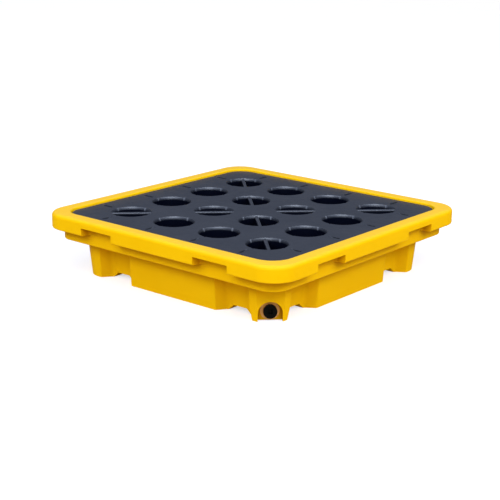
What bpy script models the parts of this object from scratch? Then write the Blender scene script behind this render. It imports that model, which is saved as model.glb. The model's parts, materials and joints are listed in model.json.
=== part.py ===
"""Single-drum spill containment pallet.

A yellow polyethylene sump tub carries a lift-out black deck of round drain holes. The deck
stands on a ledge inside the tub's rim and on nine hollow columns pushed into sleeves under it.
One corner of the tub is cut off at 45 degrees for a threaded drain plug with its gasket and
bushing.

Metres, +Z up. The origin is the centre of the footprint, on the floor. The drain faces (+X, -Y).
"""
import math

import bmesh
import bpy
from mathutils import Matrix, Vector

# ---------------------------------------------------------------- driving dimensions
SIDE = 0.660                  # over the rim
HEIGHT = 0.142                # floor to rim top
WALL = 0.005                  # tub wall
GAP = 0.0003                  # between neighbouring pieces

# rim and skirt
RIM_HALF = SIDE / 2
RIM_BOTTOM = 0.107
RIM_CORNER = 0.056            # plan radius of the rim's outer corners
RIM_ROUND = 0.009             # rounding of the rim's outer top edge
RIM_LOW_ROUND = 0.003         # rounding of the rim's lower edge
OPENING_HALF = 0.297          # deck opening, centre to side
OPENING_CORNER = 0.044
OPENING_ROUND = 0.004
NOTCH_CENTRE = 0.1595         # notches in the rim's lower edge, two on each side
NOTCH_WIDTH = 0.090
NOTCH_HEIGHT = 0.0177
NOTCH_SLANT = 0.003           # slant of a notch's ends across the rim's overhang
NOTCH_ROUND = 0.008
SKIRT_HALF = 0.3055           # the wall round the deck opening
SKIRT_BOTTOM = 0.0815
SKIRT_CORNER = 0.036
SKIRT_LOW_ROUND = 0.003
LEDGE = 0.096                 # the shelf that the deck stands on

# sump walls, feet and side blocks
BODY_BOTTOM_HALF = 0.2665     # feet and side blocks at the floor
BODY_TOP_HALF = 0.2725        # the same faces where they meet the skirt
RECESS_DEPTH = 0.024          # between the feet and the side blocks
RECESS_FLARE = 0.0165         # slant of a recess's ends across its depth
BLOCK_HALF = 0.120            # side block, centre to end
FOOT_START = 0.2125           # corner foot's end, from the centre
FOOT_CORNER = 0.045           # plan radius of the plain corner feet
EDGE_ROUND = 0.005            # upright edges of the feet and blocks
RECESS_ROUND = 0.017          # upright corners in the recesses
INNER_ROUND = 0.0016          # least rounding on the inside of the wall
FLOOR_RISE = 0.0115           # underside of the sump above the ground
PAD_REACH = 0.220             # inner edge of the pads under the feet and blocks
CHANNEL_SLOPE = 0.012         # how far a channel between two pads narrows as it rises

# drain corner, measured from the centre along the diagonal
DRAIN_FACE = 0.351
DRAIN_POCKET_FACE = 0.338
DRAIN_WELL_FACE = 0.3277
DRAIN_HEIGHT = 0.0202         # plug axis above the floor
DRAIN_POCKET_WIDTH = 0.050
DRAIN_POCKET_HEIGHT = 0.0415
DRAIN_POCKET_ROUND = 0.0245   # the pocket's arched top
DRAIN_FOOT_START = 0.211      # the drain foot's end, above its taper
DRAIN_TAPER = 0.006           # it narrows by this at each end, from the height to the floor
DRAIN_TAPER_HEIGHT = 0.026

# deck
DECK_TOP = 0.1375
DECK_HALF = 0.2946
DECK_CORNER = 0.0416
DECK_SKIN = 0.006
DECK_ROUND = 0.0025
DECK_UNDER = DECK_TOP - DECK_SKIN
DECK_BURIED = DECK_TOP - DECK_SKIN / 2    # where what hangs from the skin is joined inside it
HOLE_PITCH = 0.1277
HOLES_PER_SIDE = 4
HOLE_RADIUS = 0.0415
HOLE_MOUTH = 0.0445           # the hole's radius at the deck's top
HOLE_LIP = 0.007              # depth of the slanting lip from there to the hole's wall
COLLAR_WALL = 0.003
COLLAR_BOTTOM = 0.108
GROOVE_RADIUS = 0.004         # four slanting grooves in each hole's lip, at the deck's top
GROOVE_DEPTH = 0.0075
GROOVE_CENTRE = 0.0425        # from the hole's axis to the groove's, at the deck's top
GROOVE_END_RADIUS = 0.002     # the groove's lower end, where it meets the hole's wall
GROOVE_END_CENTRE = 0.039
GROOVE_WALL = 0.003
BAR_WIDTH = 0.0075            # bars that cross the holes on the deck's diagonals
BAR_DEPTH = 0.014
BAR_DROP = 0.001              # bar's crest below the deck top
BAR_ROUND = 0.003
BAR_LOW_ROUND = 0.001
SLOT_OUTER = 0.278            # scooped drain slots round the deck's border, from the centre
SLOT_FLOOR = 0.2625           # inner end of the slot itself, where its scoop starts to rise
SLOT_INNER = 0.248            # inner end of the scoop
SLOT_WIDTH = 0.008
SLOT_CORNER = 0.0035
RIB_THICKNESS = 0.004
RIB_BOTTOM = 0.112
SLEEVE_BOTTOM = 0.116         # sleeves under the deck that hold the columns
SLEEVE_WALL = 0.003

# columns
COLUMNS_PER_SIDE = HOLES_PER_SIDE - 1
COLUMN_TOP_RADIUS = 0.027
COLUMN_BOTTOM_RADIUS = 0.0235
COLUMN_WALL = 0.003
COLUMN_SHOULDER = 0.111       # where the column starts to narrow, below its sleeve
COLUMN_FOOT_RADIUS = 0.030
COLUMN_FOOT_HEIGHT = 0.004

# drain bushing, gasket and plug; heights along their axis start at the pocket's face
THREAD_PITCH = 0.003
THREAD_CREST = 0.0108         # plug thread's outer radius
THREAD_ROOT = 0.0092
THREAD_ROOT_WIDTH = 0.0016
THREAD_CREST_WIDTH = 0.0006
THREAD_CLEARANCE = 0.00035
THREAD_RUNOUT = 0.25          # turns over which a thread's ends fade
THREAD_START = 0.05           # a fading thread's first height, of its full height
BUSHING_FLANGE_RADIUS = 0.0195
BUSHING_FLANGE = 0.003
BUSHING_RADIUS = 0.0145
BUSHING_EDGE = 0.001
GASKET_RADIUS = 0.0136
GASKET_INNER_RADIUS = 0.0112
GASKET_THICKNESS = 0.0022
GASKET_EDGE = 0.0005
PLUG_HEAD_RADIUS = 0.0140
PLUG_HEAD = 0.007
PLUG_EDGE = 0.0012
PLUG_TIP = -0.008
KEY_SOCKET = 0.0095           # square socket in the plug's head, across its flats
KEY_DEPTH = 0.0045

CORNER_STEPS = 8              # segments in a large plan corner
EDGE_STEPS = 2                # segments in a small rounding
HOLE_STEPS = 24
COLUMN_STEPS = 16
DRAIN_STEPS = 24              # segments round the drain's pieces
GROOVE_STEPS = 6
THREAD_STEPS = 18             # segments in one turn of a thread
SHARP_DEGREES = 30
TINY = 0.00001
CLEAR = 0.0005                # keeps a cutter's side off the surface beside it
OVERLAP = 0.010               # how far a tool runs past what it joins or cuts

YELLOW = (0.90, 0.50, 0.005)
TAN = (0.62, 0.36, 0.13)
DARK_GREY = (0.05, 0.055, 0.07)
BLACK = (0.01, 0.01, 0.012)
PALLET = "spill_containment_pallet"

# The drain's own frame: X level along the cut-off corner, Y up, Z out of the drain.
DRAIN_AXIS = Vector((1.0, -1.0, 0.0)).normalized()
DRAIN_LEVEL = Vector((1.0, 1.0, 0.0)).normalized()
DRAIN_PLACE = Matrix.Translation(DRAIN_AXIS * DRAIN_POCKET_FACE + Vector((0.0, 0.0, DRAIN_HEIGHT))) @ (
    Matrix((DRAIN_LEVEL, (0.0, 0.0, 1.0), DRAIN_AXIS)).transposed().to_4x4())


# ---------------------------------------------------------------- scene helpers
def clear_scene():
    for old in list(bpy.data.objects):
        bpy.data.objects.remove(old, do_unlink=True)


def new_collection(name):
    collection = bpy.data.collections.new(name)
    bpy.context.scene.collection.children.link(collection)
    return collection


def new_material(name, colour, roughness, metallic=0.0):
    material = bpy.data.materials.new(name)
    material.use_nodes = True
    shader = material.node_tree.nodes["Principled BSDF"]
    shader.inputs["Base Color"].default_value = (*colour, 1.0)
    shader.inputs["Roughness"].default_value = roughness
    shader.inputs["Metallic"].default_value = metallic
    return material


def add_part(name, mesh, material):
    part = bpy.data.objects.new(name, mesh)
    parts.objects.link(part)
    mesh.materials.append(material)
    return part


def add_tool(name, mesh):
    """A hidden object that a Boolean joins to a part or cuts from it."""
    tool = bpy.data.objects.new(name, mesh)
    tools.objects.link(tool)
    tool.hide_render = True
    tool.display_type = 'WIRE'
    return tool


def combine(target, tool, operation):
    modifier = target.modifiers.new(tool.name, 'BOOLEAN')
    modifier.operation = operation
    modifier.solver = 'EXACT'
    modifier.object = tool


def repeat(obj, count, offset):
    array = obj.modifiers.new("Array", 'ARRAY')
    array.count = count
    array.use_relative_offset = False
    array.use_constant_offset = True
    array.constant_offset_displace = offset


def repeat_over_holes(obj):
    """Repeats a tool over every drain hole; it stands at the hole nearest (-X, -Y)."""
    repeat(obj, HOLES_PER_SIDE, (HOLE_PITCH, 0.0, 0.0))
    repeat(obj, HOLES_PER_SIDE, (0.0, HOLE_PITCH, 0.0))


def centred(count):
    """Evenly spaced positions of the holes, or of the columns between them, along one axis."""
    return [(i - (count - 1) / 2) * HOLE_PITCH for i in range(count)]


# ---------------------------------------------------------------- outlines
def rounded(corners):
    """Points of a closed outline whose corners (x, y, radius, steps) are filleted."""
    points = []
    for i, (x, y, radius, steps) in enumerate(corners):
        here = Vector((x, y))
        before = Vector(corners[i - 1][:2])
        after = Vector(corners[(i + 1) % len(corners)][:2])
        back = (before - here).normalized()
        ahead = (after - here).normalized()
        half_angle = back.angle(ahead) / 2
        centre = here + (back + ahead).normalized() * radius / math.sin(half_angle)
        start = here + back * radius / math.tan(half_angle) - centre
        end = here + ahead * radius / math.tan(half_angle) - centre
        sweep = -start.angle_signed(end)
        for step in range(steps + 1):
            turned_start = Matrix.Rotation(sweep * step / steps, 2) @ start
            points.append(centre + turned_start)
    return points


def rounded_square(half, radius, steps=CORNER_STEPS):
    return rounded([(-half, -half, radius, steps), (half, -half, radius, steps),
                    (half, half, radius, steps), (-half, half, radius, steps)])


def rectangle(x_low, x_high, y_low, y_high):
    return [(x_low, y_low), (x_high, y_low), (x_high, y_high), (x_low, y_high)]


def ring(x, radius, steps):
    angles = [math.tau * step / steps for step in range(steps)]
    return [(x + radius * math.cos(a), radius * math.sin(a)) for a in angles]


def rounding(radius, steps=EDGE_STEPS):
    """(inset, rise) pairs from the start to the end of a quarter round."""
    angles = [math.radians(90) * step / steps for step in range(steps + 1)]
    return [(radius * (1 - math.cos(a)), radius * math.sin(a)) for a in angles]


# ---------------------------------------------------------------- meshes
def finished(bm, name):
    mesh = bpy.data.meshes.new(name)
    bm.normal_update()
    bm.to_mesh(mesh)
    bm.free()
    mesh.shade_smooth()
    mesh.set_sharp_from_angle(angle=math.radians(SHARP_DEGREES))
    return mesh


def lofted(name, sections):
    """A solid through (outline, z) sections, lowest first, that all have as many points."""
    bm = bmesh.new()
    rings = [[bm.verts.new((x, y, z)) for x, y in outline] for outline, z in sections]
    bm.faces.new(reversed(rings[0]))
    bm.faces.new(rings[-1])
    for low, high in zip(rings, rings[1:]):
        for i in range(len(low)):
            bm.faces.new((low[i - 1], low[i], high[i], high[i - 1]))
    return finished(bm, name)


def prism(name, outline, z_low, z_high):
    return lofted(name, [(outline, z_low), (outline, z_high)])


def rounded_block(name, half, corner, z_low, z_high, low_round=0.0, high_round=0.0):
    """A square block with round plan corners and, where given, rounded lower and upper edges."""
    low_edge = rounding(low_round) if low_round else [(0.0, 0.0)]
    high_edge = rounding(high_round) if high_round else [(0.0, 0.0)]
    sections = [(rounded_square(half - inset, corner - inset), z_low + low_round - rise)
                for inset, rise in reversed(low_edge)]
    sections += [(rounded_square(half - inset, corner - inset), z_high - high_round + rise)
                 for inset, rise in high_edge]
    return lofted(name, sections)


def box(name, size, centre):
    bm = bmesh.new()
    bmesh.ops.create_cube(bm, size=1.0)
    bm.transform(Matrix.LocRotScale(Vector(centre), None, Vector(size)))
    return finished(bm, name)


def cylinder(name, radius, z_low, z_high, steps, x=0.0, y=0.0):
    bm = bmesh.new()
    bmesh.ops.create_cone(bm, cap_ends=True, segments=steps, radius1=radius, radius2=radius,
                          depth=z_high - z_low)
    bm.transform(Matrix.Translation((x, y, (z_low + z_high) / 2)))
    return finished(bm, name)


def turned_profile(name, profile):
    """An edge loop of (radius, z) points for a Screw modifier, outer side top to bottom."""
    mesh = bpy.data.meshes.new(name)
    edges = [(i, i + 1) for i in range(len(profile) - 1)]
    if profile[0][0] > TINY:
        edges.append((len(profile) - 1, 0))
    mesh.from_pydata([(radius, 0.0, z) for radius, z in profile], edges, [])
    return mesh


def turn(obj, steps):
    screw = obj.modifiers.new("Turn", 'SCREW')
    screw.axis = 'Z'
    screw.steps = steps
    screw.render_steps = steps
    screw.use_merge_vertices = True
    screw.merge_threshold = TINY
    screw.use_smooth_shade = True


# ---------------------------------------------------------------- sump tub
def body_face(z, inset):
    """Distance from the centre to the drafted outer faces at height z."""
    draft = (BODY_TOP_HALF - BODY_BOTTOM_HALF) * z / SKIRT_BOTTOM
    return BODY_BOTTOM_HALF + draft - inset


def foot_end(z, inset, is_drain):
    """(x, y, radius) points from a recess's back to a foot's outer face, on the +X end."""
    face = body_face(z, inset)
    back = face - RECESS_DEPTH
    slope = RECESS_FLARE / RECESS_DEPTH
    shift = inset * (math.hypot(1.0, slope) - slope)
    taper = DRAIN_TAPER * max(0.0, 1 - z / DRAIN_TAPER_HEIGHT)
    start = (DRAIN_FOOT_START + taper if is_drain else FOOT_START) + shift
    concave = RECESS_ROUND + inset
    convex = max(EDGE_ROUND - inset, INNER_ROUND)
    points = [(start - RECESS_FLARE, -back, concave)]
    if not is_drain:
        return points + [(start, -face, convex)]
    cut = (DRAIN_WELL_FACE if inset else DRAIN_FACE) * math.sqrt(2) + body_face(z, 0) - body_face(0, 0)
    if cut - face > start:
        return points + [(start, -face, INNER_ROUND), (cut - face, -face, INNER_ROUND)]
    meet = (cut - start + face * slope) / (1 + slope)
    return points + [(cut - meet, -meet, convex)]


def sump_outline(z, inset):
    """The sump wall's outline at height z, moved inwards by inset for its inner face."""
    face = body_face(z, inset)
    back = face - RECESS_DEPTH
    slope = RECESS_FLARE / RECESS_DEPTH
    block = BLOCK_HALF - inset * (math.hypot(1.0, slope) - slope)
    concave = RECESS_ROUND + inset
    convex = max(EDGE_ROUND - inset, INNER_ROUND)
    outline = []
    for side in range(4):
        left = [(-x, y, r) for x, y, r in reversed(foot_end(z, inset, side == 1))]
        right = foot_end(z, inset, side == 0)
        middle = [(-block - RECESS_FLARE, -back, concave), (-block, -face, convex),
                  (block, -face, convex), (block + RECESS_FLARE, -back, concave)]
        points = left + middle + right
        if side != 0:
            points.append((face, -face, FOOT_CORNER - inset))
        turn_side = Matrix.Rotation(math.radians(90 * side), 2)
        for x, y, radius in points:
            place = turn_side @ Vector((x, y))
            steps = EDGE_STEPS if radius < FOOT_CORNER / 2 else CORNER_STEPS
            outline.append((place.x, place.y, radius, steps))
    return rounded(outline)


def raised_floor(name, inset):
    """What lifts the sump's floor: a square between the pads, and a channel at each recess."""
    top = FLOOR_RISE + inset
    bottom = -OVERLAP
    square = PAD_REACH + inset
    floor = add_tool(name, prism(name, rectangle(-square, square, -square, square), bottom, top))
    outer = body_face(0, 0) - RECESS_DEPTH + WALL
    low = BLOCK_HALF + RECESS_FLARE + CLEAR - inset
    high = FOOT_START - RECESS_FLARE - CLEAR + inset
    for side in range(4):
        for sign in (-1, 1):
            channel_name = f"{name}_channel_{side}_{'left' if sign < 0 else 'right'}"
            y_range = (-outer, -PAD_REACH + OVERLAP)
            wide = rectangle(low, high, *y_range)
            narrow = rectangle(low + CHANNEL_SLOPE, high - CHANNEL_SLOPE, *y_range)
            channel = lofted(channel_name, [(wide, bottom), (wide, 0.0), (narrow, top)])
            if sign < 0:
                channel.transform(Matrix.Scale(-1, 4, (1, 0, 0)))
                channel.flip_normals()
            channel.transform(Matrix.Rotation(math.radians(90 * side), 4, 'Z'))
            combine(floor, add_tool(channel_name, channel), 'UNION')
    return floor


def sump_hull(name, inset, z_top):
    """The sump below the skirt: its outside with no inset, or its hollow with the wall's."""
    heights = [inset, DRAIN_TAPER_HEIGHT, z_top]
    hull = add_tool(name, lofted(name, [(sump_outline(z, inset), z) for z in heights]))
    combine(hull, raised_floor(name + "_floor", inset), 'DIFFERENCE')
    return hull


def notches(tub):
    """Cuts the rim's notches, whose ends slant and meet the skirt in round corners."""
    half = NOTCH_WIDTH / 2
    out = NOTCH_SLANT * OVERLAP / (RIM_HALF - SKIRT_HALF)
    front = -RIM_HALF - OVERLAP
    back = -SKIRT_HALF - CLEAR
    outline = rounded([(-half - out, front, EDGE_ROUND, 1), (half + out, front, EDGE_ROUND, 1),
                       (half - NOTCH_SLANT, back, NOTCH_ROUND, EDGE_STEPS),
                       (-half + NOTCH_SLANT, back, NOTCH_ROUND, EDGE_STEPS)])
    for side in range(4):
        turn_side = Matrix.Rotation(math.radians(90 * side), 4, 'Z')
        for sign in (-1, 1):
            name = f"notch_{side}_{'left' if sign < 0 else 'right'}"
            notch = prism(name, outline, RIM_BOTTOM - OVERLAP, RIM_BOTTOM + NOTCH_HEIGHT)
            notch.transform(turn_side @ Matrix.Translation((sign * NOTCH_CENTRE, 0.0, 0.0)))
            combine(tub, add_tool(name, notch), 'DIFFERENCE')


def deck_opening():
    edge = [(rounded_square(OPENING_HALF + inset, OPENING_CORNER + inset),
             HEIGHT - OPENING_ROUND + rise) for inset, rise in rounding(OPENING_ROUND)]
    low = (rounded_square(OPENING_HALF, OPENING_CORNER), LEDGE)
    high = (edge[-1][0], HEIGHT + OVERLAP)
    return add_tool("deck_opening", lofted("deck_opening", [low] + edge + [high]))


def drain_pocket():
    half = DRAIN_POCKET_WIDTH / 2
    low = -DRAIN_HEIGHT - OVERLAP
    high = DRAIN_POCKET_HEIGHT - DRAIN_HEIGHT
    arch = rounded([(-half, low, EDGE_ROUND, EDGE_STEPS), (half, low, EDGE_ROUND, EDGE_STEPS),
                    (half, high, DRAIN_POCKET_ROUND, CORNER_STEPS),
                    (-half, high, DRAIN_POCKET_ROUND, CORNER_STEPS)])
    reach = DRAIN_FACE - DRAIN_POCKET_FACE + OVERLAP
    pocket = add_tool("drain_pocket", prism("drain_pocket", arch, 0.0, reach))
    pocket.matrix_world = DRAIN_PLACE
    return pocket


def drain_bore():
    inner_end = DRAIN_WELL_FACE - DRAIN_POCKET_FACE - OVERLAP
    bore = add_tool("drain_bore", cylinder("drain_bore", BUSHING_RADIUS + GAP, inner_end, OVERLAP,
                                           DRAIN_STEPS))
    bore.matrix_world = DRAIN_PLACE
    return bore


def build_tub():
    rim = rounded_block("sump_tub", RIM_HALF, RIM_CORNER, RIM_BOTTOM, HEIGHT, RIM_LOW_ROUND, RIM_ROUND)
    tub = add_part("sump_tub", rim, new_material("yellow polyethylene", YELLOW, 0.45))
    skirt = rounded_block("skirt", SKIRT_HALF, SKIRT_CORNER, SKIRT_BOTTOM, RIM_BOTTOM + OVERLAP,
                          SKIRT_LOW_ROUND)
    combine(tub, add_tool("skirt", skirt), 'UNION')
    combine(tub, sump_hull("sump_outside", 0.0, SKIRT_BOTTOM + WALL / 2), 'UNION')
    combine(tub, sump_hull("sump_hollow", WALL, LEDGE + OVERLAP), 'DIFFERENCE')
    combine(tub, deck_opening(), 'DIFFERENCE')
    notches(tub)
    combine(tub, drain_pocket(), 'DIFFERENCE')
    combine(tub, drain_bore(), 'DIFFERENCE')


# ---------------------------------------------------------------- deck
def hole_cutter():
    """Cuts one drain hole, with a slanting lip."""
    top = DECK_TOP + OVERLAP
    profile = [
        (0.0, top), (HOLE_MOUTH, top), (HOLE_MOUTH, DECK_TOP), (HOLE_RADIUS, DECK_TOP - HOLE_LIP),
        (HOLE_RADIUS, LEDGE), (0.0, LEDGE),
    ]
    cutter = add_tool("hole_cutter", turned_profile("hole_cutter", profile))
    turn(cutter, HOLE_STEPS)
    first = centred(HOLES_PER_SIDE)[0]
    cutter.location = (first, first, 0.0)
    repeat_over_holes(cutter)
    return cutter


def deck_ribs():
    """Ribs under the deck, along every row of holes both ways."""
    reach = SLOT_INNER - DECK_SKIN / 2
    size = (2 * reach, RIB_THICKNESS, DECK_BURIED - RIB_BOTTOM)
    for turns in range(2):
        turn_rows = Matrix.Rotation(math.radians(90 * turns), 4, 'Z')
        for i, row in enumerate(centred(HOLES_PER_SIDE)):
            name = f"rib_{'xy'[turns]}_{i + 1}"
            rib = box(name, size, (0.0, row, (DECK_BURIED + RIB_BOTTOM) / 2))
            rib.transform(turn_rows)
            yield name, rib


def deck_collars():
    """The walls that hang from the deck's skin round the holes."""
    first = centred(HOLES_PER_SIDE)[0]
    radius = HOLE_RADIUS + COLLAR_WALL
    collars = add_tool("collars", cylinder("collars", radius, COLLAR_BOTTOM, DECK_BURIED, HOLE_STEPS,
                                           first, first))
    repeat_over_holes(collars)
    return collars


def lip_cones(name, side, wall, heights):
    """Slanting cones at the lips of all holes, side quarter turns from +X, grown by wall."""
    first = centred(HOLES_PER_SIDE)[0]
    end = ring(GROOVE_END_CENTRE, GROOVE_END_RADIUS + wall, GROOVE_STEPS)
    mouth = ring(GROOVE_CENTRE, GROOVE_RADIUS + wall, GROOVE_STEPS)
    name = f"{name}_{side + 1}"
    cone = lofted(name, zip((end, mouth, mouth), heights))
    turn_side = Matrix.Rotation(math.radians(90 * side), 4, 'Z')
    cone.transform(Matrix.Translation((first, first, 0.0)) @ turn_side)
    cones = add_tool(name, cone)
    repeat_over_holes(cones)
    return cones


def column_sleeves(name, radius, z_low, z_high):
    first = centred(COLUMNS_PER_SIDE)[0]
    sleeves = add_tool(name, cylinder(name, radius, z_low, z_high, COLUMN_STEPS, first, first))
    repeat(sleeves, COLUMNS_PER_SIDE, (HOLE_PITCH, 0.0, 0.0))
    repeat(sleeves, COLUMNS_PER_SIDE, (0.0, HOLE_PITCH, 0.0))
    return sleeves


def build_deck():
    slab = rounded_block("deck_grate", DECK_HALF, DECK_CORNER, LEDGE + GAP, DECK_TOP, 0.0, DECK_ROUND)
    deck = add_part("deck_grate", slab, new_material("dark grey polyethylene", DARK_GREY, 0.4))
    hollow = rounded_block("deck_hollow", DECK_HALF - DECK_SKIN, DECK_CORNER - DECK_SKIN,
                           LEDGE - OVERLAP, DECK_UNDER)
    combine(deck, add_tool("deck_hollow", hollow), 'DIFFERENCE')
    for name, rib in deck_ribs():
        combine(deck, add_tool(name, rib), 'UNION')
    combine(deck, deck_collars(), 'UNION')
    groove_end = DECK_TOP - GROOVE_DEPTH
    for side in range(4):
        swellings = lip_cones("swellings", side, GROOVE_WALL,
                              (groove_end - GROOVE_WALL, DECK_UNDER, DECK_BURIED))
        combine(deck, swellings, 'UNION')
    bore = COLUMN_TOP_RADIUS + GAP
    combine(deck, column_sleeves("sleeves", bore + SLEEVE_WALL, SLEEVE_BOTTOM, DECK_BURIED), 'UNION')
    combine(deck, column_sleeves("sleeve_bores", bore, LEDGE, DECK_UNDER), 'DIFFERENCE')
    combine(deck, hole_cutter(), 'DIFFERENCE')
    for side in range(4):
        grooves = lip_cones("grooves", side, 0.0, (groove_end, DECK_TOP, DECK_TOP + OVERLAP))
        combine(deck, grooves, 'DIFFERENCE')
    for name, bar in diagonal_bars():
        combine(deck, add_tool(name, bar), 'UNION')
    for name, slot in border_slots():
        combine(deck, add_tool(name, slot), 'DIFFERENCE')
    return deck


def diagonal_bars():
    """Bars across the holes on the deck's two diagonals, each along its own diagonal."""
    half = BAR_WIDTH / 2
    section = rounded([(-half, -BAR_DEPTH, BAR_LOW_ROUND, 1), (half, -BAR_DEPTH, BAR_LOW_ROUND, 1),
                       (half, 0.0, BAR_ROUND, EDGE_STEPS), (-half, 0.0, BAR_ROUND, EDGE_STEPS)])
    reach = HOLE_MOUTH + half
    upright = Matrix.Rotation(math.radians(90), 4, 'X')
    for i, x in enumerate(centred(HOLES_PER_SIDE)):
        for j, y in enumerate(centred(HOLES_PER_SIDE)):
            if i != j and i + j != HOLES_PER_SIDE - 1:
                continue
            angle = math.radians(-45 if i == j else 45)
            name = f"bar_{i + 1}_{j + 1}"
            bar = prism(name, section, -reach, reach)
            place = Matrix.Translation((x, y, DECK_TOP - BAR_DROP)) @ Matrix.Rotation(angle, 4, 'Z')
            bar.transform(place @ upright)
            yield name, bar


def border_slots():
    """Slots in line with the rows of holes, all round the deck's border, each with a scoop."""
    half = SLOT_WIDTH / 2
    slot_floor, mouth = [
        rounded([(x, y, SLOT_CORNER, EDGE_STEPS)
                 for x, y in rectangle(-half, half, -SLOT_OUTER, -inner)])
        for inner in (SLOT_FLOOR, SLOT_INNER)]
    sections = [(slot_floor, DECK_UNDER - OVERLAP), (slot_floor, DECK_UNDER), (mouth, DECK_TOP),
                (mouth, DECK_TOP + OVERLAP)]
    for side in range(4):
        turn_side = Matrix.Rotation(math.radians(90 * side), 4, 'Z')
        for i, across in enumerate(centred(HOLES_PER_SIDE)):
            name = f"slot_{side + 1}_{i + 1}"
            slot = lofted(name, sections)
            slot.transform(turn_side @ Matrix.Translation((across, 0.0, 0.0)))
            yield name, slot


def build_columns(deck):
    top = DECK_UNDER - GAP
    bottom = FLOOR_RISE + WALL + GAP
    foot_top = bottom + COLUMN_FOOT_HEIGHT
    profile = [
        (COLUMN_TOP_RADIUS - COLUMN_WALL, top), (COLUMN_TOP_RADIUS, top),
        (COLUMN_TOP_RADIUS, COLUMN_SHOULDER), (COLUMN_BOTTOM_RADIUS, foot_top),
        (COLUMN_FOOT_RADIUS, foot_top), (COLUMN_FOOT_RADIUS, bottom),
        (COLUMN_BOTTOM_RADIUS - COLUMN_WALL, bottom),
        (COLUMN_TOP_RADIUS - COLUMN_WALL, COLUMN_SHOULDER),
    ]
    mesh = turned_profile("support_column", profile)
    mesh.materials.append(new_material("black polypropylene", BLACK, 0.5))
    number = 0
    for y in centred(COLUMNS_PER_SIDE):
        for x in centred(COLUMNS_PER_SIDE):
            number += 1
            column = bpy.data.objects.new(f"support_column_{number}", mesh)
            parts.objects.link(column)
            column.location = (x, y, 0.0)
            column.parent = deck
            turn(column, COLUMN_STEPS)


# ---------------------------------------------------------------- drain
def thread_ridge(name, low, high, root, growth, runout):
    """A trapezoid ridge along a right-handed helix about +Z, tapering to nothing over its run-outs."""
    flank = (THREAD_ROOT_WIDTH - THREAD_CREST_WIDTH) / 2 / (THREAD_CREST - THREAD_ROOT)
    steps = round((high - low) / THREAD_PITCH * THREAD_STEPS)
    bm = bmesh.new()
    sections = []
    for step in range(steps + 1):
        height = low + (high - low) * step / steps
        angle = math.tau * height / THREAD_PITCH
        ends = min(step, steps - step) / THREAD_STEPS
        full = min(1.0, THREAD_START + ends / runout) if runout else 1.0
        crest = root + (THREAD_CREST + growth - root) * full
        section = []
        for radius, sign in ((root, -1), (crest, -1), (crest, 1), (root, 1)):
            half = THREAD_ROOT_WIDTH / 2 - (radius - THREAD_ROOT) * flank + growth
            section.append(bm.verts.new((radius * math.cos(angle), radius * math.sin(angle),
                                         height + sign * half)))
        sections.append(section)
    bm.faces.new(reversed(sections[0]))
    bm.faces.new(sections[-1])
    for near, far in zip(sections, sections[1:]):
        for i in range(4):
            bm.faces.new((near[i - 1], near[i], far[i], far[i - 1]))
    bmesh.ops.recalc_face_normals(bm, faces=bm.faces)
    return add_tool(name, finished(bm, name))


def build_bushing():
    bore = THREAD_ROOT + THREAD_CLEARANCE
    inner_end = DRAIN_WELL_FACE - DRAIN_POCKET_FACE - GAP
    edge = BUSHING_EDGE
    profile = [
        (bore, BUSHING_FLANGE), (BUSHING_FLANGE_RADIUS - edge, BUSHING_FLANGE),
        (BUSHING_FLANGE_RADIUS, BUSHING_FLANGE - edge), (BUSHING_FLANGE_RADIUS, GAP),
        (BUSHING_RADIUS, GAP), (BUSHING_RADIUS, inner_end), (bore, inner_end),
    ]
    bushing = add_part("drain_bushing", turned_profile("drain_bushing", profile),
                       new_material("tan polyethylene", TAN, 0.45))
    turn(bushing, DRAIN_STEPS)
    bushing.matrix_world = DRAIN_PLACE
    groove = thread_ridge("bushing_thread", inner_end - THREAD_PITCH, BUSHING_FLANGE + THREAD_PITCH,
                          bore - THREAD_CLEARANCE * 2, THREAD_CLEARANCE, 0.0)
    groove.matrix_world = DRAIN_PLACE
    combine(bushing, groove, 'DIFFERENCE')


def build_gasket():
    low = BUSHING_FLANGE + GAP
    high = low + GASKET_THICKNESS
    edge = GASKET_EDGE
    profile = [
        (GASKET_INNER_RADIUS, high), (GASKET_RADIUS - edge, high), (GASKET_RADIUS, high - edge),
        (GASKET_RADIUS, low + edge), (GASKET_RADIUS - edge, low), (GASKET_INNER_RADIUS, low),
    ]
    gasket = add_part("drain_gasket", turned_profile("drain_gasket", profile),
                      new_material("black rubber", BLACK, 0.7))
    turn(gasket, DRAIN_STEPS)
    gasket.matrix_world = DRAIN_PLACE


def build_plug():
    base = BUSHING_FLANGE + GASKET_THICKNESS + 2 * GAP
    face = base + PLUG_HEAD
    profile = [
        (0.0, face), (PLUG_HEAD_RADIUS - PLUG_EDGE, face), (PLUG_HEAD_RADIUS, face - PLUG_EDGE),
        (PLUG_HEAD_RADIUS, base), (THREAD_ROOT, base), (THREAD_ROOT, PLUG_TIP + PLUG_EDGE),
        (THREAD_ROOT - PLUG_EDGE, PLUG_TIP), (0.0, PLUG_TIP),
    ]
    plug = add_part("drain_plug", turned_profile("drain_plug", profile),
                    new_material("black nylon", BLACK, 0.4))
    turn(plug, DRAIN_STEPS)
    plug.matrix_world = DRAIN_PLACE
    thread = thread_ridge("plug_thread", PLUG_TIP + THREAD_ROOT_WIDTH, BUSHING_FLANGE - GAP,
                          THREAD_ROOT - GAP, 0.0, THREAD_RUNOUT)
    key = add_tool("key_socket", box("key_socket", (KEY_SOCKET, KEY_SOCKET, 2 * KEY_DEPTH),
                                     (0.0, 0.0, face)))
    for tool, operation in ((thread, 'UNION'), (key, 'DIFFERENCE')):
        tool.matrix_world = DRAIN_PLACE
        combine(plug, tool, operation)


clear_scene()
parts = new_collection(PALLET)
tools = new_collection("tools")
build_tub()
build_columns(build_deck())
build_bushing()
build_gasket()
build_plug()
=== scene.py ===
"""Looks for the spill containment pallet: finely moulded surfaces, materials, light and camera.

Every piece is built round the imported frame, in metres, and stands for one CAD node.
"""
import json
import math

import bmesh
import bpy
from mathutils import Matrix, Vector


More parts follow.
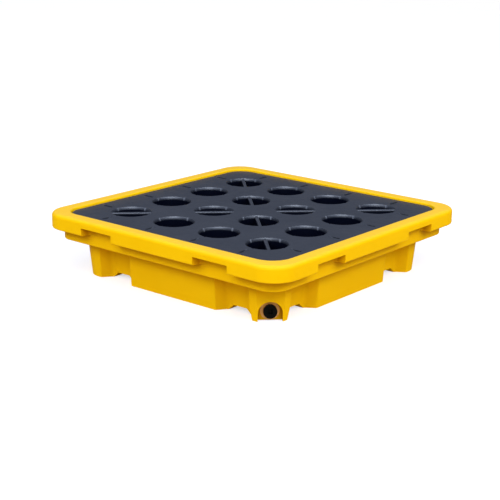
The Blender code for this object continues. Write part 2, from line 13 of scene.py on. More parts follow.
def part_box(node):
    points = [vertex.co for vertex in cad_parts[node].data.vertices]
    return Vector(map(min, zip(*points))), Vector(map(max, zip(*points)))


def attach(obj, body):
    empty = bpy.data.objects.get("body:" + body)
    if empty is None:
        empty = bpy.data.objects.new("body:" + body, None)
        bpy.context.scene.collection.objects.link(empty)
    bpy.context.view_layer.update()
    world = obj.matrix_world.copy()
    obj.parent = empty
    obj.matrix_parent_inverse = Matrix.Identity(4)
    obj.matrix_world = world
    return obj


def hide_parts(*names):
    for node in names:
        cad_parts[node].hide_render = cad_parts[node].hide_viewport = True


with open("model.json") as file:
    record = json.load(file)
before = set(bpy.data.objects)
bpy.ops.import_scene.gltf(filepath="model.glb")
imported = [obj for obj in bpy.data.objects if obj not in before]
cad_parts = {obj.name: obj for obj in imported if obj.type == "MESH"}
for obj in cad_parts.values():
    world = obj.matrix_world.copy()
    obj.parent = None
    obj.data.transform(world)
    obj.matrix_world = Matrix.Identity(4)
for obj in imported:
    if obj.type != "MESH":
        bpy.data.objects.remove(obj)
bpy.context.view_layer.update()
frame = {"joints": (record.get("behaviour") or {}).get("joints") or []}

# ---------------------------------------------------------------- sizes read from the frame
TUB_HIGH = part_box("sump_tub")[1]
DECK_LOW, DECK_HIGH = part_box("deck_grate")
COLUMN_LOW, COLUMN_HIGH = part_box("support_column_1")
COLUMN_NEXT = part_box("support_column_2")[0]
DRAIN_JOINT = next(joint for joint in frame["joints"] if joint["name"] == "plug_turn")

GAP = 0.0003                  # between neighbouring pieces
WALL = 0.005                  # of the tub
RIM_HALF = TUB_HIGH.x
HEIGHT = TUB_HIGH.z
DECK_HALF = DECK_HIGH.x
DECK_TOP = DECK_HIGH.z
DECK_BOTTOM = DECK_LOW.z
HOLE_PITCH = COLUMN_NEXT.x - COLUMN_LOW.x
COLUMN_TOP = COLUMN_HIGH.z
COLUMN_BOTTOM = COLUMN_LOW.z
COLUMN_FOOT_RADIUS = (COLUMN_HIGH.x - COLUMN_LOW.x) / 2
DRAIN_HEIGHT = DRAIN_JOINT["pos_m"][2]
DRAIN_POCKET_FACE = math.hypot(*DRAIN_JOINT["pos_m"][:2])

# rim and skirt; a half is measured from the centre to a side
RIM_HEIGHT = 0.035
RIM_BOTTOM = HEIGHT - RIM_HEIGHT
RIM_CORNER = 0.056
RIM_ROUND = 0.009
RIM_LOW_ROUND = 0.003
DECK_CLEARANCE = 0.0024
OPENING_HALF = DECK_HALF + DECK_CLEARANCE
OPENING_CORNER = 0.044
OPENING_ROUND = 0.004
NOTCH_CENTRE = 0.1595
NOTCH_WIDTH = 0.090
NOTCH_HEIGHT = 0.0177
NOTCH_SLANT = 0.003           # slant of a notch's ends across the rim's overhang
NOTCH_ROUND = 0.008
SKIRT_HALF = 0.3055
SKIRT_BOTTOM = 0.0815
SKIRT_CORNER = 0.036
SKIRT_LOW_ROUND = 0.003
LEDGE = DECK_BOTTOM - GAP     # what the deck rests on, inside the rim

# sump walls, feet and side blocks
BODY_BOTTOM_HALF = 0.2665
BODY_TOP_HALF = 0.2725
RECESS_DEPTH = 0.024
RECESS_FLARE = 0.0165         # how far a recess's end slants along the side
RECESS_SLOPE = RECESS_FLARE / RECESS_DEPTH
# how far the ends of that slant move along the side for each metre that the wall is inset
RECESS_CREEP = math.hypot(1.0, RECESS_SLOPE) - RECESS_SLOPE
BLOCK_HALF = 0.120            # half width of a side block
FOOT_START = 0.2125           # where a corner foot begins along a side
FOOT_CORNER = 0.045
EDGE_ROUND = 0.005            # of the walls' upright edges
RECESS_ROUND = 0.017          # of the hollow corners in the recesses
INNER_ROUND = 0.0016          # the least that an upright edge has
FLOOR_RISE = COLUMN_BOTTOM - GAP - WALL    # of the sump's underside above the ground
PAD_REACH = 0.220             # half of the raised square between the feet and side blocks
CHANNEL_SLOPE = 0.012         # slant of the sides of the channels under the recesses

# drain corner, measured from the centre along the diagonal
DRAIN_POCKET_DEPTH = 0.013
DRAIN_WALL = 0.0103           # behind the pocket
DRAIN_FACE = DRAIN_POCKET_FACE + DRAIN_POCKET_DEPTH
DRAIN_WELL_FACE = DRAIN_POCKET_FACE - DRAIN_WALL
DRAIN_POCKET_WIDTH = 0.050
DRAIN_POCKET_HEIGHT = 0.0415
DRAIN_POCKET_ROUND = 0.0245
DRAIN_FOOT_START = 0.211
DRAIN_TAPER = 0.006           # how much narrower the drain's foot is at the ground
DRAIN_TAPER_HEIGHT = 0.026

# deck
DECK_CORNER = 0.0416
DECK_SKIN = 0.006
DECK_ROUND = 0.0025
HOLES_PER_SIDE = 4
HOLE_RADIUS = 0.0415
HOLE_MOUTH = 0.0445           # radius at the deck's top
HOLE_LIP = 0.007              # height of the slant between them
COLLAR_WALL = 0.003
COLLAR_BOTTOM = 0.108
GROOVE_RADIUS = 0.004         # of the grooves in a hole's lip, at the top
GROOVE_DEPTH = 0.0075
GROOVE_CENTRE = 0.0425        # from the hole's axis
GROOVE_END_RADIUS = 0.002     # at the groove's lower end
GROOVE_END_CENTRE = 0.039
GROOVE_WALL = 0.003
BAR_WIDTH = 0.0075
BAR_DEPTH = 0.014
BAR_DROP = 0.001
BAR_ROUND = 0.003
BAR_LOW_ROUND = 0.001
SLOT_OUTER = 0.278            # a border slot's outer end, from the centre
SLOT_FLOOR = 0.2625           # its inner end under the deck's skin
SLOT_INNER = 0.248            # its inner end on top, where its scoop starts
SLOT_WIDTH = 0.008
SLOT_CORNER = 0.0035
RIB_THICKNESS = 0.004
RIB_BOTTOM = 0.112
SLEEVE_BOTTOM = 0.116
SLEEVE_WALL = 0.003
DECK_UNDER = DECK_TOP - DECK_SKIN
DECK_BURIED = DECK_TOP - DECK_SKIN / 2    # where what hangs under the skin starts, inside it

# columns
COLUMNS_PER_SIDE = HOLES_PER_SIDE - 1
COLUMN_TOP_RADIUS = 0.027
COLUMN_BOTTOM_RADIUS = 0.0235
COLUMN_WALL = 0.003
COLUMN_FOOT_HEIGHT = 0.004

# drain bushing, gasket and plug; heights along their axis start at the pocket's face
THREAD_PITCH = 0.003
THREAD_CREST = 0.0108
THREAD_ROOT = 0.0092
THREAD_ROOT_WIDTH = 0.0016
THREAD_CREST_WIDTH = 0.0006
THREAD_CLEARANCE = 0.00035
THREAD_RUNOUT = 0.25          # of a turn, over which the ridge grows to its full height
THREAD_START = 0.05           # of that height, at the ridge's very end
BUSHING_FLANGE_RADIUS = 0.0195
BUSHING_FLANGE = 0.003
BUSHING_RADIUS = 0.0145
GASKET_RADIUS = 0.0136
GASKET_INNER_RADIUS = 0.0112
GASKET_THICKNESS = 0.0022
GASKET_EDGE = 0.0005
PLUG_HEAD_RADIUS = 0.0140
PLUG_HEAD = 0.007
PLUG_EDGE = 0.0012
PLUG_TIP = -0.008
KEY_SOCKET = 0.0095
KEY_DEPTH = 0.0045

# fineness of the finished surfaces: steps round each kind of curve
CORNER_STEPS = 20
EDGE_STEPS = 6
HOLE_STEPS = 64
COLUMN_STEPS = 48
DRAIN_STEPS = 64
GROOVE_STEPS = 16
THREAD_STEPS = 48             # a turn
CHAMFER_STEPS = 1

OVERLAP = 0.010               # how far solids that are cut or joined reach past each other
CLEAR = 0.0005                # keeps faces apart that would otherwise meet
TINY = 0.00001                # points closer than this are one

# rounding of the finished edges
TUB_SOFTNESS = 0.0030
DECK_SOFTNESS = 0.0008
COLUMN_SOFTNESS = 0.0006
DRAIN_SOFTNESS = 0.0003
SOFT_STEPS = 3
SOFT_DEGREES = 32             # edges sharper than this are rounded
FLAT_DEGREES = 0.3            # faces flatter than this become one
FACE_WEIGHT = 100             # how much large faces keep their own shading

# colours of the materials, as linear red, green and blue
YELLOW_TONES = ((0.95, 0.54, 0.001), (0.98, 0.575, 0.002))
# the tub's creases are darkened to this painted shade
YELLOW_PAINTED_SHADE = (0.48, 0.18, 0.0002)
DECK_TONES = ((0.032, 0.0365, 0.047), (0.038, 0.0425, 0.053))
# painted shade: the deck turns to this near black below its lips, in the holes and underneath
DECK_PAINTED_SHADE = (0.0012, 0.0020, 0.0065)
DECK_REFLECTION = (0.78, 0.86, 1.0)
PLUG_COLOUR = (0.0014, 0.0014, 0.0011)
COLUMN_COLOUR = (0.010, 0.010, 0.012)
RUBBER_COLOUR = (0.006, 0.006, 0.006)
BUSHING_COLOUR = (0.80, 0.42, 0.10)
# the bushing's creases are darkened to this painted shade
BUSHING_PAINTED_SHADE = (0.36, 0.12, 0.01)
SECOND_TONE = 1.25            # a plain plastic's lighter patches against its colour

# how the materials vary over a piece
NOISE_SPAN = (0.3, 0.7)       # the values that nearly all of a noise texture lies between
CREASE_SHADE_REACH = 0.03           # how far away a wall still darkens a crease with painted shade
CREASE_SHADE_SPAN = (0.35, 0.95)    # openness from full painted crease shade to none
ROUGHNESS_SPREAD = 0.04
YELLOW_ROUGHNESS = (0.40, 0.48)
YELLOW_SHINE = (0.03, 0.45)   # of the walls, and of the upper faces, whose extra shine paints a sheen on them
PAINTED_SHEEN_SLOPE = (0.5, 0.95)      # upward part of the normal, where the shine changes
DECK_ROUGHNESS = (0.28, 0.36)
TOP_SHINE = 0.04              # of the deck's flat top and of the insides of its holes
LIP_SHINE = 0.55
LIP_SLOPE = (0.80, 0.97)      # upward part of the normal, from the lips to the flat top
MATT_BELOW = 0.0070           # heights on the lips, down from the deck's top; below the first the deck is painted near black as shade
GLOSS_ABOVE = 0.0050
GREY_ABOVE = 0.0010

# camera
CAMERA_ANGLES = (39.547, 17.030, 0.699)    # azimuth, elevation and roll, in degrees
CAMERA_DISTANCE = 2.786
CAMERA_LENS = 89.47           # in millimetres, as is the sensor's width
CAMERA_SENSOR = 36.0
CAMERA_SHIFT = (-0.0079, 0.0395)

# studio floor
FLOOR_HALF = 6.0
FLOOR_TONES = ((0.50, 0.50, 0.50), (0.53, 0.53, 0.53))
FLOOR_BOUNCE = (0.42, 0.32, 0.20)    # colour of the light that it throws back up
FLOOR_GRAIN = 1.06            # its lighter patches against that colour
FLOOR_ROUGHNESS = 0.9
FLOOR_GLOW = 0.62             # added for the camera alone, so that the floor looks white

# studio dome: its brightness, and the heights and directions between which that changes
HORIZON_LEVEL = 0.05
BACK_LEVEL = 0.50
FRONT_LEVEL = 1.7
ZENITH_LEVEL = 0.6
HAZE = (0.04, 0.50)           # from the horizon's height to the full level's
BAND_TOP = (0.70, 0.95)       # from the front's height to the zenith's
FRONT_SPREAD = (-0.30, 0.35)  # from the back to the front
DOME_TINT = (0.86, 0.94, 1.18)
WHITE = (1.0, 1.0, 1.0)

# lamps: name, place, height of the point aimed at, width and height, watts, seen only as gloss
LAMPS = (
    ("overhead", (0.1, -0.1, 2.2), 0.1, (2.0, 2.0), 4.0, False),
    ("front_left", (-0.5, -2.4, 1.7), 0.05, (2.2, 0.8), 19.5, False),
    ("front_right", (2.4, 0.3, 1.7), 0.05, (2.2, 0.8), 23.0, False),
    ("front_high", (1.50, -1.35, 1.80), 0.1, (2.4, 0.8), 14.0, False),
    ("front_sheen", (1.59, -1.93, 1.54), 0.1, (2.6, 0.9), 54.0, True),
)

# The drain's own frame: X level along the cut-off corner, Y up, Z out of the drain.
DRAIN_AXIS = Vector(DRAIN_JOINT["axis"]).normalized()
DRAIN_LEVEL = Vector((0.0, 0.0, 1.0)).cross(DRAIN_AXIS)
DRAIN_PLACE = Matrix.Translation(Vector(DRAIN_JOINT["pos_m"])) @ (
    Matrix((DRAIN_LEVEL, (0.0, 0.0, 1.0), DRAIN_AXIS)).transposed().to_4x4())


# ---------------------------------------------------------------- building helpers
tools = []


def add_object(data):
    obj = bpy.data.objects.new(data.name, data)
    bpy.context.scene.collection.objects.link(obj)
    return obj


def combine(target, tool, operation):
    modifier = target.modifiers.new(tool.name, 'BOOLEAN')
    modifier.operation = operation
    modifier.solver = 'EXACT'
    modifier.object = tool


def bake(obj):
    """Applies obj's modifiers to its mesh."""
    depsgraph = bpy.context.evaluated_depsgraph_get()
    mesh = bpy.data.meshes.new_from_object(obj.evaluated_get(depsgraph))
    obj.modifiers.clear()
    obj.data = mesh


def centred(count):
    """Places of a centred row of holes or columns."""
    return [(i - (count - 1) / 2) * HOLE_PITCH for i in range(count)]


def repeat_in_grid(obj, count):
    """Repeats obj, which is made round the origin, at count by count places."""
    first = centred(count)[0]
    obj.location = (first, first, 0.0)
    for offset in ((HOLE_PITCH, 0.0, 0.0), (0.0, HOLE_PITCH, 0.0)):
        array = obj.modifiers.new("Array", 'ARRAY')
        array.count = count
        array.use_relative_offset = False
        array.use_constant_offset = True
        array.constant_offset_displace = offset
    return obj


def quarter_turns(count):
    return Matrix.Rotation(math.radians(90 * count), 4, 'Z')


def add_tool(mesh):
    """A temporary object that a Boolean joins to a piece or cuts from it."""
    tool = add_object(mesh)
    tools.append(tool)
    return tool


def drop_tools():
    while tools:
        bpy.data.objects.remove(tools.pop())


def moulded(obj, softness):
    """Bakes obj in world coordinates, rounds its edges by softness and smooths its shading."""
    bake(obj)
    drop_tools()
    obj.data.transform(obj.matrix_world)
    obj.matrix_world = Matrix.Identity(4)
    bm = bmesh.new()
    bm.from_mesh(obj.data)
    bmesh.ops.remove_doubles(bm, verts=bm.verts, dist=TINY)
    bmesh.ops.dissolve_limit(bm, angle_limit=math.radians(FLAT_DEGREES), verts=bm.verts,
                             edges=bm.edges)
    bm.to_mesh(obj.data)
    bm.free()
    bevel = obj.modifiers.new("Soft edges", 'BEVEL')
    bevel.limit_method = 'ANGLE'
    bevel.angle_limit = math.radians(SOFT_DEGREES)
    bevel.width = softness
    bevel.segments = SOFT_STEPS
    bevel.use_clamp_overlap = True
    bake(obj)
    obj.data.shade_smooth()
    normals = obj.modifiers.new("Even shading", 'WEIGHTED_NORMAL')
    normals.keep_sharp = True
    normals.weight = FACE_WEIGHT
    bake(obj)


# ---------------------------------------------------------------- outlines
def rounded(corners):
    """Points of a closed outline whose corners (x, y, radius, steps) are filleted."""
    points = []
    for i, (x, y, radius, steps) in enumerate(corners):
        here = Vector((x, y))
        before = Vector(corners[i - 1][:2])
        after = Vector(corners[(i + 1) % len(corners)][:2])
        back = (before - here).normalized()
        ahead = (after - here).normalized()
        half_angle = back.angle(ahead) / 2
        centre = here + (back + ahead).normalized() * radius / math.sin(half_angle)
        start = here + back * radius / math.tan(half_angle) - centre
        end = here + ahead * radius / math.tan(half_angle) - centre
        sweep = -start.angle_signed(end)
        for step in range(steps + 1):
            turned_start = Matrix.Rotation(sweep * step / steps, 2) @ start
            points.append(centre + turned_start)
    return points


def rectangle(x_low, x_high, y_low, y_high):
    return [(x_low, y_low), (x_high, y_low), (x_high, y_high), (x_low, y_high)]


def rounded_square(half, radius):
    return rounded([(x, y, radius, CORNER_STEPS) for x, y in rectangle(-half, half, -half, half)])


def ring(x, radius, steps):
    """A circle round (x, 0)."""
    angles = [math.tau * step / steps for step in range(steps)]
    return [(x + radius * math.cos(a), radius * math.sin(a)) for a in angles]


def rounding(radius):
    """(inset, rise) pairs from the start to the end of a quarter round."""
    angles = [math.radians(90) * step / EDGE_STEPS for step in range(EDGE_STEPS + 1)]
    return [(radius * (1 - math.cos(a)), radius * math.sin(a)) for a in angles]


# ---------------------------------------------------------------- meshes
def finished(bm, name):
    mesh = bpy.data.meshes.new(name)
    bm.normal_update()
    bm.to_mesh(mesh)
    bm.free()
    return mesh


def lofted(name, sections):
    """A solid through (outline, z) sections, lowest first, that all have as many points."""
    bm = bmesh.new()
    rings = [[bm.verts.new((x, y, z)) for x, y in outline] for outline, z in sections]
    bm.faces.new(reversed(rings[0]))
    bm.faces.new(rings[-1])
    for low, high in zip(rings, rings[1:]):
        for i in range(len(low)):
            bm.faces.new((low[i - 1], low[i], high[i], high[i - 1]))
    return finished(bm, name)


def prism(name, outline, z_low, z_high):
    return lofted(name, [(outline, z_low), (outline, z_high)])


def rounded_block(name, half, corner, z_low, z_high, low_round=0.0, high_round=0.0):
    """A square block with round plan corners and, where given, rounded lower and upper edges."""
    low_edge = rounding(low_round) if low_round else [(0.0, 0.0)]
    high_edge = rounding(high_round) if high_round else [(0.0, 0.0)]
    sections = [(rounded_square(half - inset, corner - inset), z_low + low_round - rise)
                for inset, rise in reversed(low_edge)]
    sections += [(rounded_square(half - inset, corner - inset), z_high - high_round + rise)
                 for inset, rise in high_edge]
    return lofted(name, sections)


def box(name, size, centre):
    bm = bmesh.new()
    bmesh.ops.create_cube(bm, size=1.0)
    bm.transform(Matrix.LocRotScale(Vector(centre), None, Vector(size)))
    return finished(bm, name)


def cylinder(name, radius, z_low, z_high, steps):
    bm = bmesh.new()
    bmesh.ops.create_cone(bm, cap_ends=True, segments=steps, radius1=radius, radius2=radius,
                          depth=z_high - z_low)
    bm.transform(Matrix.Translation((0.0, 0.0, (z_low + z_high) / 2)))
    return finished(bm, name)


def turned_profile(name, profile):
    """An edge loop of (radius, z) points for a Screw modifier, outer side top to bottom."""
    mesh = bpy.data.meshes.new(name)
    edges = [(i, i + 1) for i in range(len(profile) - 1)]
    if profile[0][0] > TINY:
        edges.append((len(profile) - 1, 0))
    mesh.from_pydata([(radius, 0.0, z) for radius, z in profile], edges, [])
    return mesh


def turn(obj, steps):
    screw = obj.modifiers.new("Turn", 'SCREW')
    screw.axis = 'Z'
    screw.steps = steps
    screw.render_steps = steps
    screw.use_merge_vertices = True
    screw.merge_threshold = TINY
    screw.use_smooth_shade = True


# ---------------------------------------------------------------- sump tub
def body_face(z, inset):
    """Distance from the centre to the drafted outer faces at height z."""
    draft = (BODY_TOP_HALF - BODY_BOTTOM_HALF) * z / SKIRT_BOTTOM
    return BODY_BOTTOM_HALF + draft - inset


def wall_rounds(inset):
    """Radii of the sump wall's hollow and standing corners, as seen from outside."""
    return RECESS_ROUND + inset, max(EDGE_ROUND - inset, INNER_ROUND)


def foot_end(z, inset, is_drain):
    """(x, y, radius) points from a recess's back to a foot's outer face, on the -Y side's +X end."""
    face = body_face(z, inset)
    back = face - RECESS_DEPTH
    concave, convex = wall_rounds(inset)
    taper = DRAIN_TAPER * max(0.0, 1 - z / DRAIN_TAPER_HEIGHT)
    start = (DRAIN_FOOT_START + taper if is_drain else FOOT_START) + inset * RECESS_CREEP
    points = [(start - RECESS_FLARE, -back, concave)]
    if not is_drain:
        return points + [(start, -face, convex)]
    # The cut-off corner's face is the line x - y = cut, which the draft moves outwards with height.
    draft = body_face(z, 0) - body_face(0, 0)
    cut = (DRAIN_WELL_FACE if inset else DRAIN_FACE) * math.sqrt(2) + draft
    if cut - face > start:
        return points + [(start, -face, INNER_ROUND), (cut - face, -face, INNER_ROUND)]
    meet = (cut - start + face * RECESS_SLOPE) / (1 + RECESS_SLOPE)
    return points + [(cut - meet, -meet, convex)]


def sump_outline(z, inset):
    """The sump wall's outline at height z, moved inwards by inset for its inner face.

    Side 0 is at -Y and the others follow anticlockwise, so the drain's corner ends side 0 and
    starts side 1. It is cut off, and the other three corners are round.
    """
    face = body_face(z, inset)
    back = face - RECESS_DEPTH
    concave, convex = wall_rounds(inset)
    block = BLOCK_HALF - inset * RECESS_CREEP
    outline = []
    for side in range(4):
        left = [(-x, y, r) for x, y, r in reversed(foot_end(z, inset, side == 1))]
        right = foot_end(z, inset, side == 0)
        middle = [(-block - RECESS_FLARE, -back, concave), (-block, -face, convex),
                  (block, -face, convex), (block + RECESS_FLARE, -back, concave)]
        points = left + middle + right
        if side != 0:
            points.append((face, -face, FOOT_CORNER - inset))
        turn_side = Matrix.Rotation(math.radians(90 * side), 2)
        for x, y, radius in points:
            turned = turn_side @ Vector((x, y))
            steps = EDGE_STEPS if radius < FOOT_CORNER / 2 else CORNER_STEPS
            outline.append((turned.x, turned.y, radius, steps))
    return rounded(outline)


def raised_floor(name, inset):
    """What lifts the sump's floor: a square between the feet and blocks, and a channel at each recess."""
    top = FLOOR_RISE + inset
    bottom = -OVERLAP
    square = PAD_REACH + inset
    floor = add_tool(prism(name, rectangle(-square, square, -square, square), bottom, top))
    outer = body_face(0, 0) - RECESS_DEPTH + WALL
    low = BLOCK_HALF + RECESS_FLARE + CLEAR - inset
    high = FOOT_START - RECESS_FLARE - CLEAR + inset
    wide, narrow = [rectangle(low + slant, high - slant, -outer, -PAD_REACH + OVERLAP)
                    for slant in (0.0, CHANNEL_SLOPE)]
    for side in range(4):
        for sign in (-1, 1):
            channel_name = f"{name}_channel_{side}_{'left' if sign < 0 else 'right'}"
            channel = lofted(channel_name, [(wide, bottom), (wide, 0.0), (narrow, top)])
            if sign < 0:
                channel.transform(Matrix.Scale(-1, 4, (1, 0, 0)))
                channel.flip_normals()
            channel.transform(quarter_turns(side))
            combine(floor, add_tool(channel), 'UNION')
    return floor


def sump_hull(name, inset, z_top):
    """The sump below the skirt: its outside with no inset, or its hollow with the wall's."""
    heights = [inset, DRAIN_TAPER_HEIGHT, z_top]
    hull = add_tool(lofted(name, [(sump_outline(z, inset), z) for z in heights]))
    combine(hull, raised_floor(name + "_floor", inset), 'DIFFERENCE')
    return hull


def notches(tub):
    """Cuts the rim's notches, whose ends slant and meet the skirt in round corners."""
    half = NOTCH_WIDTH / 2
    out = NOTCH_SLANT * OVERLAP / (RIM_HALF - SKIRT_HALF)
    front = -RIM_HALF - OVERLAP
    back = -SKIRT_HALF - CLEAR
    outline = rounded([(-half - out, front, EDGE_ROUND, CHAMFER_STEPS),
                       (half + out, front, EDGE_ROUND, CHAMFER_STEPS),
                       (half - NOTCH_SLANT, back, NOTCH_ROUND, EDGE_STEPS),
                       (-half + NOTCH_SLANT, back, NOTCH_ROUND, EDGE_STEPS)])
    for side in range(4):
        for sign in (-1, 1):
            name = f"notch_{side}_{'left' if sign < 0 else 'right'}"
            notch = prism(name, outline, RIM_BOTTOM - OVERLAP, RIM_BOTTOM + NOTCH_HEIGHT)
            notch.transform(quarter_turns(side) @ Matrix.Translation((sign * NOTCH_CENTRE, 0.0, 0.0)))
            combine(tub, add_tool(notch), 'DIFFERENCE')


def deck_opening():
    """The well that the deck sits in, with a rounded upper edge."""
    edge = [(rounded_square(OPENING_HALF + inset, OPENING_CORNER + inset),
             HEIGHT - OPENING_ROUND + rise) for inset, rise in rounding(OPENING_ROUND)]
    low = (rounded_square(OPENING_HALF, OPENING_CORNER), LEDGE)
    high = (edge[-1][0], HEIGHT + OVERLAP)
    return add_tool(lofted("deck_opening", [low] + edge + [high]))


def drain_pocket():
    """The arched pocket in the cut-off corner, open below."""
    half = DRAIN_POCKET_WIDTH / 2
    low = -DRAIN_HEIGHT - OVERLAP
    high = DRAIN_POCKET_HEIGHT - DRAIN_HEIGHT
    arch = rounded([(-half, low, EDGE_ROUND, EDGE_STEPS), (half, low, EDGE_ROUND, EDGE_STEPS),
                    (half, high, DRAIN_POCKET_ROUND, CORNER_STEPS),
                    (-half, high, DRAIN_POCKET_ROUND, CORNER_STEPS)])
    reach = DRAIN_FACE - DRAIN_POCKET_FACE + OVERLAP
    pocket = add_tool(prism("drain_pocket", arch, 0.0, reach))
    pocket.matrix_world = DRAIN_PLACE
    return pocket


def drain_bore():
    """The bore through the cut-off corner's wall that the bushing fills."""
    inner_end = DRAIN_WELL_FACE - DRAIN_POCKET_FACE - OVERLAP
    bore = add_tool(cylinder("drain_bore", BUSHING_RADIUS + GAP, inner_end, OVERLAP, DRAIN_STEPS))
    bore.matrix_world = DRAIN_PLACE
    return bore


def build_tub():
    """The rim, the skirt and the sump as one moulding, with the deck's well and the drain cut in."""
    tub = add_object(rounded_block("tub_moulding", RIM_HALF, RIM_CORNER, RIM_BOTTOM, HEIGHT,
                                   RIM_LOW_ROUND, RIM_ROUND))
    skirt = rounded_block("skirt", SKIRT_HALF, SKIRT_CORNER, SKIRT_BOTTOM, RIM_BOTTOM + OVERLAP,
                          SKIRT_LOW_ROUND)
    combine(tub, add_tool(skirt), 'UNION')
    combine(tub, sump_hull("sump_outside", 0.0, SKIRT_BOTTOM + WALL / 2), 'UNION')
    combine(tub, sump_hull("sump_hollow", WALL, LEDGE + OVERLAP), 'DIFFERENCE')
    combine(tub, deck_opening(), 'DIFFERENCE')
    notches(tub)
    combine(tub, drain_pocket(), 'DIFFERENCE')
    combine(tub, drain_bore(), 'DIFFERENCE')
    moulded(tub, TUB_SOFTNESS)
    return tub


# ---------------------------------------------------------------- deck
def hole_cutter():
    """Cuts all the round holes, each with a slanting lip."""
    top = DECK_TOP + OVERLAP
    profile = [
        (0.0, top), (HOLE_MOUTH, top), (HOLE_MOUTH, DECK_TOP), (HOLE_RADIUS, DECK_TOP - HOLE_LIP),
        (HOLE_RADIUS, LEDGE), (0.0, LEDGE),
    ]
    cutter = add_tool(turned_profile("hole_cutter", profile))
    turn(cutter, HOLE_STEPS)
    return repeat_in_grid(cutter, HOLES_PER_SIDE)


def deck_ribs():
    """Ribs under the deck, along every row of holes both ways."""
    reach = SLOT_INNER - DECK_SKIN / 2
    size = (2 * reach, RIB_THICKNESS, DECK_BURIED - RIB_BOTTOM)
    for turns in range(2):
        for i, row in enumerate(centred(HOLES_PER_SIDE)):
            rib = box(f"rib_{'xy'[turns]}_{i + 1}", size, (0.0, row, (DECK_BURIED + RIB_BOTTOM) / 2))
            rib.transform(quarter_turns(turns))
            yield rib


def deck_collars():
    """The walls that hang from the deck's skin round the holes."""
    collar = cylinder("collars", HOLE_RADIUS + COLLAR_WALL, COLLAR_BOTTOM, DECK_BURIED, HOLE_STEPS)
    return repeat_in_grid(add_tool(collar), HOLES_PER_SIDE)


def lip_cones(name, side, wall, heights):
    """Slanting cones at the lips of all holes, side quarter turns from +X, grown by wall."""
    end = ring(GROOVE_END_CENTRE, GROOVE_END_RADIUS + wall, GROOVE_STEPS)
    mouth = ring(GROOVE_CENTRE, GROOVE_RADIUS + wall, GROOVE_STEPS)
    cone = lofted(f"{name}_{side + 1}", zip((end, mouth, mouth), heights))
    cone.transform(quarter_turns(side))
    return repeat_in_grid(add_tool(cone), HOLES_PER_SIDE)


def column_sleeves(name, radius, z_low, z_high):
    """Cylinders round the tops of all the columns."""
    sleeve = cylinder(name, radius, z_low, z_high, COLUMN_STEPS)
    return repeat_in_grid(add_tool(sleeve), COLUMNS_PER_SIDE)


def diagonal_bars():
    """Bars across the holes on the deck's two diagonals, each along its own diagonal."""
    half = BAR_WIDTH / 2
    section = rounded([(-half, -BAR_DEPTH, BAR_LOW_ROUND, CHAMFER_STEPS),
                       (half, -BAR_DEPTH, BAR_LOW_ROUND, CHAMFER_STEPS),
                       (half, 0.0, BAR_ROUND, EDGE_STEPS), (-half, 0.0, BAR_ROUND, EDGE_STEPS)])
    reach = HOLE_MOUTH + half
    upright = Matrix.Rotation(math.radians(90), 4, 'X')
    for i, x in enumerate(centred(HOLES_PER_SIDE)):
        for j, y in enumerate(centred(HOLES_PER_SIDE)):
            if i != j and i + j != HOLES_PER_SIDE - 1:
                continue
            angle = math.radians(-45 if i == j else 45)
            bar = prism(f"bar_{i + 1}_{j + 1}", section, -reach, reach)
            at_hole = Matrix.Translation((x, y, DECK_TOP - BAR_DROP))
            bar.transform(at_hole @ Matrix.Rotation(angle, 4, 'Z') @ upright)
            yield bar


def border_slots():
    """Slots in line with the rows of holes, all round the deck's border, each with a scoop."""
    half = SLOT_WIDTH / 2
    slot_floor, mouth = [
        rounded([(x, y, SLOT_CORNER, EDGE_STEPS)
                 for x, y in rectangle(-half, half, -SLOT_OUTER, -inner)])
        for inner in (SLOT_FLOOR, SLOT_INNER)]
    sections = [(slot_floor, DECK_UNDER - OVERLAP), (slot_floor, DECK_UNDER), (mouth, DECK_TOP),
                (mouth, DECK_TOP + OVERLAP)]
    for side in range(4):
        for i, across in enumerate(centred(HOLES_PER_SIDE)):
            slot = lofted(f"slot_{side + 1}_{i + 1}", sections)
            slot.transform(quarter_turns(side) @ Matrix.Translation((across, 0.0, 0.0)))
            yield slot


def build_deck():
    """A hollow slab with ribs, collars and sleeves under its skin, and the holes through it."""
    deck = add_object(rounded_block("deck_moulding", DECK_HALF, DECK_CORNER, DECK_BOTTOM, DECK_TOP,
                                    high_round=DECK_ROUND))
    hollow = rounded_block("deck_hollow", DECK_HALF - DECK_SKIN, DECK_CORNER - DECK_SKIN,
                           DECK_BOTTOM - OVERLAP, DECK_UNDER)
    combine(deck, add_tool(hollow), 'DIFFERENCE')
    for rib in deck_ribs():
        combine(deck, add_tool(rib), 'UNION')
    combine(deck, deck_collars(), 'UNION')
    groove_end = DECK_TOP - GROOVE_DEPTH
    for side in range(4):
        swellings = lip_cones("swellings", side, GROOVE_WALL,
                              (groove_end - GROOVE_WALL, DECK_UNDER, DECK_BURIED))
        combine(deck, swellings, 'UNION')
    bore = COLUMN_TOP_RADIUS + GAP
    combine(deck, column_sleeves("sleeves", bore + SLEEVE_WALL, SLEEVE_BOTTOM, DECK_BURIED), 'UNION')
    combine(deck, column_sleeves("sleeve_bores", bore, DECK_BOTTOM, DECK_UNDER), 'DIFFERENCE')
    combine(deck, hole_cutter(), 'DIFFERENCE')
    for side in range(4):
        grooves = lip_cones("grooves", side, 0.0, (groove_end, DECK_TOP, DECK_TOP + OVERLAP))
        combine(deck, grooves, 'DIFFERENCE')
    for bar in diagonal_bars():
        combine(deck, add_tool(bar), 'UNION')
    for slot in border_slots():
        combine(deck, add_tool(slot), 'DIFFERENCE')
    moulded(deck, DECK_SOFTNESS)
    return deck


